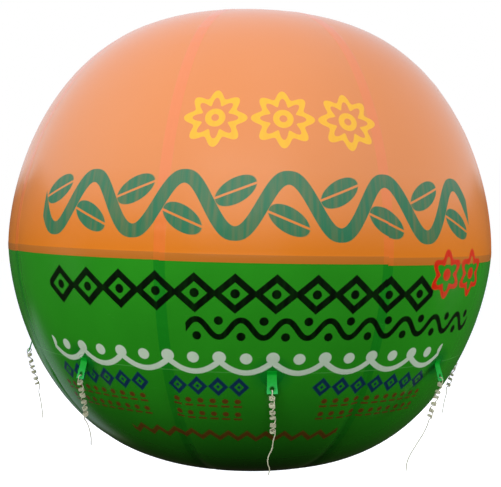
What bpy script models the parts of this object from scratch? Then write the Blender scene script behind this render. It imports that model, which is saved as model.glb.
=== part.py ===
"""A round advertising sky balloon: an orange and green envelope welded from gores,
with weld patches, tether tabs, bundled ropes and a filling valve.

Metres, +Z up. The origin is on the upright axis, in the plane of the widest girth.
The front is -Y, where one tether tab hangs from the middle of a gore.
"""

import math

import bmesh
import bpy
from mathutils import Matrix, Vector

# The envelope's outline, from a widest width of 3.05 m
RADIUS = 1.525
UPPER_HEIGHT = 0.952 * RADIUS
UPPER_R_POWER = 0.718
UPPER_Z_POWER = 1.128
LOWER_HEIGHT = 0.897 * RADIUS
LOWER_R_POWER = 0.656
LOWER_Z_POWER = 1.226

# The film panels
WALL = 0.010
GAP = 0.0003
GORES = 8
GORE_ANGLE = 2 * math.pi / GORES
STRIPS = 7
LOBE = 0.006
COLOUR_EDGE = -0.057
POLE_PATCH_RADIUS = 0.150
POLE_PATCH_PROUD = 0.002
UPPER_ROWS = 10
ROWS_ABOVE_TABS = 3
ROWS_BELOW_TABS = 4

# The tether tabs and their weld patches
TAB_LATITUDE = -0.545
TAB_FACET_HEIGHT = 0.180
TAB_LENGTH = 0.096
TAB_WIDTH = 0.050
TAB_FLARE = 1.08
TAB_THICK = 0.004
TAB_LEAN = math.radians(16)
EYELET_RADIUS = 0.010
EYELET_DOWN = 0.070
HINGE_CLEARANCE = 0.0005
PATCH_RADIUS = 0.060
PATCH_THICK = 0.003
PATCH_SIDES = 28
STRIP_HEIGHT = 0.018

# The bundled ropes
ROPE = 0.006
BUNDLE_START = 0.100
BUNDLE_LENGTH = 0.234
BUNDLE_LEAN = math.radians(15.5)
KNOTS = 6
KNOT_RADIUS = 0.0158
NECK_RADIUS = 0.0115
TIP_RADIUS = 0.0045
BUNDLE_RINGS = 25
BUNDLE_SIDES = 10
TAIL_SPACING = 0.020

# The filling valve
VALVE_FLANGE = 0.062
VALVE_FLANGE_THICK = 0.005
VALVE_NECK = 0.036
VALVE_NECK_LENGTH = 0.030
VALVE_CAP = 0.043
VALVE_CAP_LENGTH = 0.020
VALVE_SIDES = 32

DIRECTIONS = (
    "front", "front_right", "right", "back_right",
    "back", "back_left", "left", "front_left",
)

# How far each bundle leans to its right, in degrees, and where its tail hangs:
# points to the right of, outward from and below the end of the bundle
SIDE_LEAN = {
    "front": 4.0, "front_right": -3.0, "right": 2.0, "back_right": -4.0,
    "back": 3.0, "back_left": -2.0, "left": 4.0, "front_left": -3.5,
}
TAILS = {
    "front": ((0.001, 0.0, -0.030), (-0.004, 0.002, -0.065), (-0.022, 0.004, -0.105),
              (-0.024, 0.004, -0.140), (-0.014, 0.002, -0.170), (-0.020, 0.0, -0.200)),
    "front_right": ((-0.006, -0.008, -0.035), (-0.020, -0.024, -0.080), (-0.048, -0.046, -0.135),
                    (-0.078, -0.066, -0.190), (-0.092, -0.078, -0.235), (-0.094, -0.082, -0.285)),
    "right": ((0.002, -0.004, -0.030), (0.006, -0.012, -0.070), (0.002, -0.022, -0.115),
              (-0.006, -0.030, -0.160)),
    "back_right": ((0.0, -0.004, -0.030), (0.008, -0.012, -0.065), (0.018, -0.016, -0.110),
                   (0.014, -0.020, -0.155), (0.004, -0.022, -0.190)),
    "back": ((-0.002, -0.002, -0.030), (-0.010, -0.006, -0.075), (-0.006, -0.012, -0.120),
             (0.006, -0.016, -0.165), (0.008, -0.018, -0.205)),
    "back_left": ((0.004, -0.004, -0.035), (0.014, -0.010, -0.080), (0.018, -0.020, -0.130),
                  (0.010, -0.026, -0.180)),
    "left": ((-0.002, -0.006, -0.030), (-0.010, -0.014, -0.070), (-0.012, -0.022, -0.115),
             (-0.002, -0.030, -0.160), (0.004, -0.034, -0.195)),
    "front_left": ((0.004, -0.006, -0.030), (0.012, -0.014, -0.065), (0.012, -0.024, -0.105),
                   (0.004, -0.032, -0.150)),
}


def clear_scene():
    for obj in list(bpy.data.objects):
        bpy.data.objects.remove(obj, do_unlink=True)


def material(name, colour, roughness, metallic=0.0):
    """A Principled material."""
    made = bpy.data.materials.new(name)
    made.use_nodes = True
    shader = made.node_tree.nodes["Principled BSDF"]
    shader.inputs["Base Color"].default_value = (*colour, 1.0)
    shader.inputs["Roughness"].default_value = roughness
    shader.inputs["Metallic"].default_value = metallic
    return made


def add_object(name, mesh, finish, parent=None):
    obj = bpy.data.objects.new(name, mesh)
    bpy.context.scene.collection.objects.link(obj)
    if not mesh.materials:
        mesh.materials.append(finish)
    obj.parent = parent
    return obj


def to_mesh(bm, name, sharp_angle=35):
    """Turn a bmesh into a mesh with its faces out and its round parts smooth."""
    bmesh.ops.recalc_face_normals(bm, faces=bm.faces)
    mesh = bpy.data.meshes.new(name)
    bm.to_mesh(mesh)
    bm.free()
    mesh.shade_smooth()
    mesh.set_sharp_from_angle(angle=math.radians(sharp_angle))
    return mesh


def outline(t):
    """The radius and height of the envelope at t, from -pi/2 at the bottom to pi/2."""
    if t >= 0:
        return (RADIUS * math.cos(t) ** UPPER_R_POWER,
                UPPER_HEIGHT * math.sin(t) ** UPPER_Z_POWER)
    return (RADIUS * math.cos(t) ** LOWER_R_POWER,
            -LOWER_HEIGHT * math.sin(-t) ** LOWER_Z_POWER)


def outline_normal(t):
    """The outward normal of the outline at t, as radius and height parts."""
    step = 0.001
    r0, z0 = outline(t - step)
    r1, z1 = outline(t + step)
    normal = Vector((z1 - z0, r0 - r1))
    return normal.normalized()


def t_of_radius(radius, side):
    """The t at which the outline has this radius, above (1) or below (-1) the girth."""
    power = UPPER_R_POWER if side > 0 else LOWER_R_POWER
    return side * math.acos((radius / RADIUS) ** (1 / power))


def even_rows(t0, t1, count):
    """count + 1 values of t from t0 to t1 that are evenly spaced along the outline."""
    samples = 400
    marks = [t0 + (t1 - t0) * i / samples for i in range(samples + 1)]
    points = [Vector(outline(t)) for t in marks]
    run = [0.0]
    for a, b in zip(points, points[1:]):
        run.append(run[-1] + (b - a).length)
    rows = []
    j = 0
    for i in range(count + 1):
        want = run[-1] * i / count
        while j < samples - 1 and run[j + 1] < want:
            j += 1
        share = (want - run[j]) / (run[j + 1] - run[j])
        rows.append(marks[j] + (marks[j + 1] - marks[j]) * share)
    return rows


def lobe(angle):
    """How much the radius keeps at this angle from the middle of a gore."""
    return 1 - LOBE * (2 * abs(angle) / GORE_ANGLE) ** 2.5


def around(phi, radius, z):
    """A point at angle phi from the front towards +X."""
    return Vector((radius * math.sin(phi), -radius * math.cos(phi), z))


def gore(name, middle, rows, edge_side, finish):
    """One curved film panel. Its first row is the colour edge, its last the pole patch."""
    bm = bmesh.new()
    outer, inner = [], []
    last = len(rows) - 1
    for i, t in enumerate(rows):
        r, z = outline(t)
        if i == 0:
            z += edge_side * GAP / 2
            into = Vector((-WALL, 0))
        elif i == last:
            into = Vector((0, -edge_side * WALL))
        else:
            into = outline_normal(t) * -WALL
        outer_row, inner_row = [], []
        for j in range(STRIPS + 1):
            angle = GORE_ANGLE * (j / STRIPS - 0.5)
            keep = lobe(angle)
            shift = 0.0
            if j == 0:
                shift = GAP / 2
            elif j == STRIPS:
                shift = -GAP / 2
            seam = Vector((math.cos(middle + angle), math.sin(middle + angle), 0)) * shift
            outer_row.append(bm.verts.new(around(middle + angle, r * keep, z) + seam))
            inner_row.append(bm.verts.new(
                around(middle + angle, (r + into.x) * keep, z + into.y) + seam))
        outer.append(outer_row)
        inner.append(inner_row)
    for i in range(last):
        for j in range(STRIPS):
            bm.faces.new((outer[i][j], outer[i][j + 1], outer[i + 1][j + 1], outer[i + 1][j]))
            bm.faces.new((inner[i][j], inner[i + 1][j], inner[i + 1][j + 1], inner[i][j + 1]))
        for j in (0, STRIPS):
            bm.faces.new((outer[i][j], inner[i][j], inner[i + 1][j], outer[i + 1][j]))
    for i in (0, last):
        for j in range(STRIPS):
            bm.faces.new((outer[i][j], outer[i][j + 1], inner[i][j + 1], inner[i][j]))
    return add_object(name, to_mesh(bm, name), finish)


def pole_patch(name, side, finish):
    """The round film disc that closes the gores' tips at a pole."""
    bm = bmesh.new()
    rim_z = outline(t_of_radius(POLE_PATCH_RADIUS, side))[1]
    top_z = rim_z + side * POLE_PATCH_PROUD
    bottom_z = rim_z - side * WALL
    top, bottom = [], []
    for i in range(GORES):
        for j in range(STRIPS):
            angle = GORE_ANGLE * (j / STRIPS - 0.5)
            reach = POLE_PATCH_RADIUS * lobe(angle) - GAP
            top.append(bm.verts.new(around(i * GORE_ANGLE + angle, reach, top_z)))
            bottom.append(bm.verts.new(around(i * GORE_ANGLE + angle, reach, bottom_z)))
    bm.faces.new(top)
    bm.faces.new(bottom)
    count = len(top)
    for i in range(count):
        j = (i + 1) % count
        bm.faces.new((top[i], top[j], bottom[j], bottom[i]))
    return add_object(name, to_mesh(bm, name), finish)


def cylinder(name, radius, length, sides, turn=Matrix.Identity(4)):
    """A plain cylinder along Z, centred on the origin, then turned."""
    bm = bmesh.new()
    bmesh.ops.create_cone(bm, cap_ends=True, segments=sides, radius1=radius,
                          radius2=radius, depth=length, matrix=turn)
    return to_mesh(bm, name)


def joined(name, mesh, tool_mesh, operation):
    """The mesh with the tool mesh added to it or cut from it."""
    body = bpy.data.objects.new(name + "_body", mesh)
    tool = bpy.data.objects.new(name + "_tool", tool_mesh)
    for obj in (body, tool):
        bpy.context.scene.collection.objects.link(obj)
    modifier = body.modifiers.new("join", "BOOLEAN")
    modifier.operation = operation
    modifier.object = tool
    graph = bpy.context.evaluated_depsgraph_get()
    result = bpy.data.meshes.new_from_object(body.evaluated_get(graph))
    result.name = name
    for obj in (body, tool):
        bpy.data.objects.remove(obj, do_unlink=True)
    result.materials.clear()
    result.shade_smooth()
    result.set_sharp_from_angle(angle=math.radians(35))
    return result


def extruded_profile(name, profile, half_width, flare=1.0):
    """A profile of (y, z) points, drawn out along X to both sides."""
    bm = bmesh.new()
    lowest = min(z for y, z in profile)
    sides = []
    for sign in (-1, 1):
        side = []
        for y, z in profile:
            wide = half_width * (flare if z == lowest else 1.0)
            side.append(bm.verts.new((sign * wide, y, z)))
        sides.append(side)
        bm.faces.new(side)
    count = len(profile)
    for i in range(count):
        j = (i + 1) % count
        bm.faces.new((sides[0][i], sides[0][j], sides[1][j], sides[1][i]))
    return to_mesh(bm, name)


def tab_mesh():
    """A flat tab with a round upper edge on its hinge line and a punched eyelet."""
    half = TAB_THICK / 2
    bends = 6
    profile = [(half * math.cos(math.pi * i / bends), half * math.sin(math.pi * i / bends))
               for i in range(bends + 1)]
    profile += [(-half, -TAB_LENGTH), (half, -TAB_LENGTH)]
    plate = extruded_profile("tab_plate", profile, TAB_WIDTH / 2, TAB_FLARE)
    turn = Matrix.Translation((0, 0, -EYELET_DOWN)) @ Matrix.Rotation(math.pi / 2, 4, "X")
    punch = cylinder("punch", EYELET_RADIUS, TAB_THICK * 3, 20, turn)
    return joined("tether_tab", plate, punch, "DIFFERENCE")


def weld_patch_mesh():
    """A round patch lying on the facet, Z out of it, Y up the film, hinge line at Y = 0."""
    disc = cylinder("patch_disc", PATCH_RADIUS, PATCH_THICK, PATCH_SIDES)
    disc.transform(Matrix.Translation((0, -STRIP_HEIGHT / 2, GAP + PATCH_THICK / 2)))
    half = TAB_THICK / 2
    low = GAP + PATCH_THICK / 2
    high = GAP + PATCH_THICK + HINGE_CLEARANCE + TAB_THICK
    near = half + HINGE_CLEARANCE
    strip_profile = [(near, low), (near, high), (near + STRIP_HEIGHT * 0.7, high),
                     (near + STRIP_HEIGHT, high - 0.003), (near + STRIP_HEIGHT, low)]
    strip = extruded_profile("root_strip", strip_profile, TAB_WIDTH / 2)
    return joined("weld_patch", disc, strip, "UNION")


def bundle_radius(down):
    """The outer radius of a rope bundle at this distance from its upper end."""
    share = down / BUNDLE_LENGTH
    wave = 0.5 - 0.5 * math.cos(2 * math.pi * KNOTS * share)
    radius = NECK_RADIUS + (KNOT_RADIUS - NECK_RADIUS) * wave
    end = min(share, 1 - share) * KNOTS * 3
    return TIP_RADIUS + (radius - TIP_RADIUS) * min(1.0, end)


def bundle_mesh():
    """The outer shape of a wrapped and knotted rope bundle, hanging along -Z."""
    bm = bmesh.new()
    rings = []
    for i in range(BUNDLE_RINGS):
        down = BUNDLE_LENGTH * i / (BUNDLE_RINGS - 1)
        radius = bundle_radius(down)
        ring = []
        for j in range(BUNDLE_SIDES):
            angle = 2 * math.pi * j / BUNDLE_SIDES
            ring.append(bm.verts.new(
                (radius * math.cos(angle), radius * math.sin(angle), -down)))
        rings.append(ring)
    for a, b in zip(rings, rings[1:]):
        for j in range(BUNDLE_SIDES):
            k = (j + 1) % BUNDLE_SIDES
            bm.faces.new((a[j], a[k], b[k], b[j]))
    bm.faces.new(rings[0])
    bm.faces.new(rings[-1])
    return to_mesh(bm, "rope_bundle", 60)


def bundle_points(direction):
    """The upper and lower end of a bundle, from the hinge line, with -Y outward."""
    start = Vector((0, -math.sin(TAB_LEAN), -math.cos(TAB_LEAN))) * BUNDLE_START
    side = math.radians(SIDE_LEAN[direction])
    along = Vector((math.sin(side), math.sin(BUNDLE_LEAN), -math.cos(BUNDLE_LEAN)))
    return start, start + along.normalized() * BUNDLE_LENGTH


def smooth_route(points, spacing):
    """Points at an even spacing on a smooth curve through the given ones."""
    dense = []
    ends = [2 * points[0] - points[1]] + points + [2 * points[-1] - points[-2]]
    for a, b, c, d in zip(ends, ends[1:], ends[2:], ends[3:]):
        for i in range(20):
            t = i / 20
            dense.append(0.5 * (2 * b + (c - a) * t + (2 * a - 5 * b + 4 * c - d) * t ** 2
                                + (3 * b - a - 3 * c + d) * t ** 3))
    dense.append(points[-1])
    run = [0.0]
    for a, b in zip(dense, dense[1:]):
        run.append(run[-1] + (b - a).length)
    count = max(2, round(run[-1] / spacing))
    route = []
    j = 0
    for i in range(count + 1):
        want = run[-1] * i / count
        while j < len(run) - 2 and run[j + 1] < want:
            j += 1
        route.append(dense[j].lerp(dense[j + 1], (want - run[j]) / (run[j + 1] - run[j])))
    return route


def rope_tail(name, direction, finish, hinge):
    """The loose end of a rope, hanging from the end of its bundle."""
    start, end = bundle_points(direction)
    along = (end - start).normalized()
    first = end + along * GAP
    points = [first + along * ROPE]
    for right, out, up in TAILS[direction]:
        points.append(end + Vector((right, -out, up)))
    route = [first] + smooth_route(points, TAIL_SPACING)
    curve = bpy.data.curves.new(name, "CURVE")
    curve.dimensions = "3D"
    curve.bevel_depth = ROPE / 2
    curve.bevel_resolution = 2
    curve.use_fill_caps = True
    curve.render_resolution_u = 0
    spline = curve.splines.new("POLY")
    spline.points.add(len(route) - 1)
    for slot, point in zip(spline.points, route):
        slot.co = (*point, 1.0)
    return add_object(name, curve, finish, hinge)


def tether(direction, index, meshes, finishes):
    """A weld patch on the envelope, and the tab, bundle and tail that swing from it."""
    phi = index * GORE_ANGLE
    top, bottom = tab_facet()
    r_top, z_top = outline(top)
    r_low, z_low = outline(bottom)
    # The middle strip of a gore is flat, so it lies a little inside the round outline
    flat = lobe(GORE_ANGLE / 2 / STRIPS) * math.cos(GORE_ANGLE / 2 / STRIPS)
    upper = Vector((0, -r_top * flat, z_top))
    lower = Vector((0, -r_low * flat, z_low))
    up = (upper - lower).normalized()
    out = Vector((0, -up.z, up.y))
    foot = (upper + lower) / 2
    lift = GAP + PATCH_THICK + HINGE_CLEARANCE + TAB_THICK / 2
    turn = Matrix.Rotation(phi, 4, "Z")

    patch = add_object(f"weld_patch_{direction}", meshes["patch"], finishes["patch"])
    frame = Matrix((Vector((1, 0, 0)), up, out)).transposed().to_4x4()
    patch.matrix_world = turn @ Matrix.Translation(foot) @ frame

    hinge = bpy.data.objects.new(f"hinge_{direction}", None)
    bpy.context.scene.collection.objects.link(hinge)
    hinge.location = turn @ (foot + out * lift)
    hinge.rotation_euler = (0, 0, phi)

    tab = add_object(f"tether_tab_{direction}", meshes["tab"], finishes["tab"], hinge)
    tab.rotation_euler = (-TAB_LEAN, 0, 0)

    start, end = bundle_points(direction)
    bundle = add_object(f"rope_bundle_{direction}", meshes["bundle"], finishes["rope"], hinge)
    bundle.location = start
    bundle.rotation_mode = "QUATERNION"
    bundle.rotation_quaternion = (end - start).to_track_quat("-Z", "Y")

    rope_tail(f"rope_tail_{direction}", direction, finishes["tail"], hinge)


def tab_facet():
    """The t of the upper and lower edge of the flat facet under a weld patch."""
    r, z = outline(TAB_LATITUDE)
    top = bottom = TAB_LATITUDE
    while math.dist(outline(top), (r, z)) < TAB_FACET_HEIGHT / 2:
        top += 0.0005
    while math.dist(outline(bottom), (r, z)) < TAB_FACET_HEIGHT / 2:
        bottom -= 0.0005
    return top, bottom


def filling_valve(finishes):
    """A welded flange, a short neck and a screwed cap under the lower pole."""
    low = outline(t_of_radius(POLE_PATCH_RADIUS, -1))[1] - POLE_PATCH_PROUD - GAP
    pieces = (
        ("valve_flange", VALVE_FLANGE, VALVE_FLANGE_THICK, "valve"),
        ("valve_neck", VALVE_NECK, VALVE_NECK_LENGTH, "valve"),
        ("valve_cap", VALVE_CAP, VALVE_CAP_LENGTH, "cap"),
    )
    for name, radius, length, finish in pieces:
        obj = add_object(name, cylinder(name, radius, length, VALVE_SIDES), finishes[finish])
        obj.location = (0, 0, low - length / 2)
        low -= length + GAP


def build():
    clear_scene()
    finishes = {
        "orange": material("orange_film", (0.86, 0.31, 0.12), 0.32),
        "green": material("green_film", (0.015, 0.21, 0.02), 0.28),
        "top_patch": material("orange_patch", (0.80, 0.27, 0.09), 0.36),
        "bottom_patch": material("green_patch", (0.012, 0.16, 0.02), 0.34),
        "patch": material("weld_patch", (0.01, 0.13, 0.02), 0.36),
        "tab": material("tab_film", (0.02, 0.42, 0.06), 0.38),
        "rope": material("rope", (0.62, 0.56, 0.42), 0.85),
        "tail": material("rope_end", (0.62, 0.56, 0.42), 0.85),
        "valve": material("valve_plastic", (0.03, 0.03, 0.035), 0.42),
        "cap": material("valve_cap", (0.05, 0.05, 0.055), 0.38),
    }
    facet_top, facet_bottom = tab_facet()
    upper_rows = even_rows(COLOUR_EDGE, t_of_radius(POLE_PATCH_RADIUS, 1), UPPER_ROWS)
    lower_rows = even_rows(COLOUR_EDGE, facet_top, ROWS_ABOVE_TABS)
    lower_rows += even_rows(facet_bottom, t_of_radius(POLE_PATCH_RADIUS, -1), ROWS_BELOW_TABS)
    for index, direction in enumerate(DIRECTIONS):
        middle = index * GORE_ANGLE
        gore(f"gore_upper_{direction}", middle, upper_rows, 1, finishes["orange"])
        gore(f"gore_lower_{direction}", middle, lower_rows, -1, finishes["green"])
    pole_patch("pole_patch_top", 1, finishes["top_patch"])
    pole_patch("pole_patch_bottom", -1, finishes["bottom_patch"])
    filling_valve(finishes)

    meshes = {"tab": tab_mesh(), "patch": weld_patch_mesh(), "bundle": bundle_mesh()}
    for index, direction in enumerate(DIRECTIONS):
        tether(direction, index, meshes, finishes)
    bpy.context.view_layer.update()


build()
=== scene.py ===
"""The look of a round advertising sky balloon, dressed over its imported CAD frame.

Metres, +Z up. The upright axis is at X = Y = 0 and the widest girth at Z = 0.
The front is -Y, where one tether tab hangs from the middle of a gore.
"""

import math
from bisect import bisect_left

import bmesh
import bpy
from mathutils import Matrix, Quaternion, Vector, noise


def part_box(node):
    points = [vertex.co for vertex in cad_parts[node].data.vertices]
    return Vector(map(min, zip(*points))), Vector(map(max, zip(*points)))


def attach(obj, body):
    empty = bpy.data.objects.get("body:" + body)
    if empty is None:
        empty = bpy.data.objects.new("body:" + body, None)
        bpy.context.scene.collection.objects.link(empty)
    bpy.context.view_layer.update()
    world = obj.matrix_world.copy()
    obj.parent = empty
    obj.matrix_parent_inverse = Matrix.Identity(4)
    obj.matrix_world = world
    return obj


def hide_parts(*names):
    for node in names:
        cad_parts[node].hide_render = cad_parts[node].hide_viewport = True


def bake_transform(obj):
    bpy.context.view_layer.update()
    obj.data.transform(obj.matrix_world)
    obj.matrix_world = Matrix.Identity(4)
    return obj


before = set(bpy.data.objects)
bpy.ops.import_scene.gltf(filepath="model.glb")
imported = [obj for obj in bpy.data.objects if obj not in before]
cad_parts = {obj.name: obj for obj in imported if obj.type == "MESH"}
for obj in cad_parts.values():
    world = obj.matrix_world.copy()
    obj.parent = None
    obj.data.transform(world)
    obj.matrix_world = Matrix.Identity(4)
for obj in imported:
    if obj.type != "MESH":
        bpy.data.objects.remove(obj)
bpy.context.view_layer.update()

# The envelope's outline, as in the part's source
RADIUS = 1.525
UPPER_HEIGHT = 0.952 * RADIUS
UPPER_R_POWER = 0.718
UPPER_Z_POWER = 1.128
LOWER_HEIGHT = 0.897 * RADIUS
LOWER_R_POWER = 0.656
LOWER_Z_POWER = 1.226
GORES = 8
GORE_ANGLE = 2 * math.pi / GORES
STRIPS = 7
LOBE = 0.006
COLOUR_EDGE = -0.057
POLE_PATCH_RADIUS = 0.150

# The camera, placed as the photograph was taken
CAMERA_DISTANCE = 4 * RADIUS
CAMERA_AZIMUTH = math.radians(-5.2)
CAMERA_ELEVATION = 0.0312
CAMERA_ROLL = 0.0218
CAMERA_LENS = 67.39
CAMERA_SENSOR = 36.0
CAMERA_SHIFT = (0.0008, 0.00315)

# The tether tabs, their weld patches and their bundled ropes, as in the part's source
TAB_LATITUDE = -0.545
TAB_FACET_HEIGHT = 0.180
TAB_LENGTH = 0.096
TAB_WIDTH = 0.050
TAB_FLARE = 1.08
TAB_LEAN = math.radians(16)
EYELET_RADIUS = 0.010
EYELET_DOWN = 0.070
PATCH_RADIUS = 0.060
STRIP_HEIGHT = 0.018
HINGE_LIFT = 0.0058
ROPE = 0.006
BUNDLE_START = 0.100
BUNDLE_LENGTH = 0.234
BUNDLE_LEAN = math.radians(15.5)
KNOTS = 6
DIRECTIONS = (
    "front", "front_right", "right", "back_right",
    "back", "back_left", "left", "front_left",
)
SIDE_LEAN = {
    "front": 4.0, "front_right": -3.0, "right": 2.0, "back_right": -4.0,
    "back": 3.0, "back_left": -2.0, "left": 4.0, "front_left": -3.5,
}
TAILS = {
    "front": ((0.001, 0.0, -0.030), (-0.004, 0.002, -0.065), (-0.022, 0.004, -0.105),
              (-0.024, 0.004, -0.140), (-0.014, 0.002, -0.170), (-0.020, 0.0, -0.200)),
    "front_right": ((-0.006, -0.008, -0.035), (-0.020, -0.024, -0.080), (-0.048, -0.046, -0.135),
                    (-0.078, -0.066, -0.190), (-0.092, -0.078, -0.235), (-0.094, -0.082, -0.285)),
    "right": ((0.002, -0.004, -0.030), (0.006, -0.012, -0.070), (0.002, -0.022, -0.115),
              (-0.006, -0.030, -0.160)),
    "back_right": ((0.0, -0.004, -0.030), (0.008, -0.012, -0.065), (0.018, -0.016, -0.110),
                   (0.014, -0.020, -0.155), (0.004, -0.022, -0.190)),
    "back": ((-0.002, -0.002, -0.030), (-0.010, -0.006, -0.075), (-0.006, -0.012, -0.120),
             (0.006, -0.016, -0.165), (0.008, -0.018, -0.205)),
    "back_left": ((0.004, -0.004, -0.035), (0.014, -0.010, -0.080), (0.018, -0.020, -0.130),
                  (0.010, -0.026, -0.180)),
    "left": ((-0.002, -0.006, -0.030), (-0.010, -0.014, -0.070), (-0.012, -0.022, -0.115),
             (-0.002, -0.030, -0.160), (0.004, -0.034, -0.195)),
    "front_left": ((0.004, -0.006, -0.030), (0.012, -0.014, -0.065), (0.012, -0.024, -0.105),
                   (0.004, -0.032, -0.150)),
}

# How each rope runs through its eyelet: points down the tab and out of it, then points
# down the bundle and out of its middle
BACK_LEG = ((0.1045, -0.0057), (0.0965, -0.0096))
LOOP_DOWN = 0.0885
LOOP_RADIUS = 0.012
FRONT_LEG = ((-0.009, 0.0088),)

# How each rope is wound into its knots
TURN_RADIUS = 0.0130
TURN_PITCH = 0.0063
TURNS = 2.3
NECK_SLOPE = math.radians(62)
NECK_HOLD = 0.006
NECK_DRAW = 0.0018
END_SLOPE = math.radians(88)
TIGHTEST_BEND = 0.0118
WINDING_STEP = 0.0015
STRAND_TURN = 0.021
STRAND_SIDES = 12

# The welded film
FILM = 0.004
SEAM_HALF = 0.031
SEAM_PROUD = 0.0012
LAP_HEIGHT = 0.040
LAP_PROUD = 0.0010
PUCKER = 0.0016
VALLEY = 0.011
EDGE_STEP = {"front_right": -0.007, "front_left": 0.003, "right": 0.004, "back": -0.005}

FLOOR = -2.30


def clamped(value, low=0.0, high=1.0):
    return max(low, min(high, value))


def smooth(low, high, value):
    """0 below low, 1 above high, and an even slope between them."""
    share = clamped((value - low) / (high - low))
    return share * share * (3 - 2 * share)


def outline(t):
    """The radius and height of the envelope at t, from -pi/2 at the bottom to pi/2."""
    if t >= 0:
        return (RADIUS * math.cos(t) ** UPPER_R_POWER,
                UPPER_HEIGHT * math.sin(t) ** UPPER_Z_POWER)
    return (RADIUS * math.cos(t) ** LOWER_R_POWER,
            -LOWER_HEIGHT * math.sin(-t) ** LOWER_Z_POWER)


def outline_normal(t):
    """The outward normal of the outline at t, as radius and height parts."""
    step = 0.001
    r0, z0 = outline(t - step)
    r1, z1 = outline(t + step)
    return Vector((z1 - z0, r0 - r1)).normalized()


def t_of_radius(radius, side):
    """The t at which the outline has this radius, above (1) or below (-1) the girth."""
    power = UPPER_R_POWER if side > 0 else LOWER_R_POWER
    return side * math.acos((radius / RADIUS) ** (1 / power))


def lobe(angle):
    """How much the radius keeps at this angle from the middle of a gore."""
    return 1 - LOBE * (2 * abs(angle) / GORE_ANGLE) ** 2.5


def around(phi, radius, z):
    """A point at angle phi from the front towards +X."""
    return Vector((radius * math.sin(phi), -radius * math.cos(phi), z))


def meridian():
    """Runs along the film from the colour edge, up positive, and the t of each."""
    count = 4000
    low = t_of_radius(POLE_PATCH_RADIUS, -1)
    high = t_of_radius(POLE_PATCH_RADIUS, 1)
    marks = [low + (high - low) * i / count for i in range(count + 1)]
    runs = [0.0]
    for a, b in zip(marks, marks[1:]):
        runs.append(runs[-1] + math.dist(outline(a), outline(b)))
    edge = runs[bisect_left(marks, COLOUR_EDGE)]
    return [run - edge for run in runs], marks


RUNS, MARKS = meridian()


def t_of_run(run):
    i = int(clamped(bisect_left(RUNS, run), 1, len(RUNS) - 1))
    share = (run - RUNS[i - 1]) / (RUNS[i] - RUNS[i - 1])
    return MARKS[i - 1] + (MARKS[i] - MARKS[i - 1]) * clamped(share)


def run_of_t(t):
    return RUNS[int(clamped(bisect_left(MARKS, t), 0, len(RUNS) - 1))]


TAB_RUN = run_of_t(TAB_LATITUDE)


def tab_facet():
    """The flat facet under the front weld patch: its middle, its way up and its way out."""
    centre = outline(TAB_LATITUDE)
    top = bottom = TAB_LATITUDE
    while math.dist(outline(top), centre) < TAB_FACET_HEIGHT / 2:
        top += 0.0005
    while math.dist(outline(bottom), centre) < TAB_FACET_HEIGHT / 2:
        bottom -= 0.0005
    flat = lobe(GORE_ANGLE / 2 / STRIPS) * math.cos(GORE_ANGLE / 2 / STRIPS)
    r_top, z_top = outline(top)
    r_low, z_low = outline(bottom)
    upper = Vector((0, -r_top * flat, z_top))
    lower = Vector((0, -r_low * flat, z_low))
    up = (upper - lower).normalized()
    return (upper + lower) / 2, up, Vector((0, -up.z, up.y))


FACET, FACET_UP, FACET_OUT = tab_facet()
TAB_DOWN = Vector((0, -math.sin(TAB_LEAN), -math.cos(TAB_LEAN)))
TAB_OUT = Vector((0, -math.cos(TAB_LEAN), math.sin(TAB_LEAN)))


def hinge_place(index):
    """The place and turn of a tab's hinge line, X along it and -Y outward."""
    turn = Matrix.Rotation(index * GORE_ANGLE, 4, "Z")
    return turn @ Matrix.Translation(FACET + FACET_OUT * HINGE_LIFT)


def facet_place(index):
    """The place and turn of a weld patch, Z out of the film and Y up it."""
    turn = Matrix.Rotation(index * GORE_ANGLE, 4, "Z")
    axes = Matrix((Vector((1, 0, 0)), FACET_UP, FACET_OUT)).transposed().to_4x4()
    return turn @ Matrix.Translation(FACET) @ axes


def photograph_camera():
    data = bpy.data.cameras.new("camera")
    data.sensor_width = CAMERA_SENSOR
    data.lens = CAMERA_LENS
    data.shift_x, data.shift_y = CAMERA_SHIFT
    data.clip_end = 200
    camera = bpy.data.objects.new("camera", data)
    bpy.context.scene.collection.objects.link(camera)
    level = math.cos(CAMERA_ELEVATION)
    back = around(CAMERA_AZIMUTH, level, math.sin(CAMERA_ELEVATION))
    camera.location = back * CAMERA_DISTANCE
    camera.rotation_mode = "QUATERNION"
    camera.rotation_quaternion = ((-back).to_track_quat("-Z", "Y")
                                  @ Quaternion((0, 0, 1), CAMERA_ROLL))
    bpy.context.scene.camera = camera


def join(tree, slot, item):
    """Feed a node's socket with a value, a link or a constant."""
    if isinstance(item, Value):
        tree.links.new(item.socket, slot)
    else:
        slot.default_value = item


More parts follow.
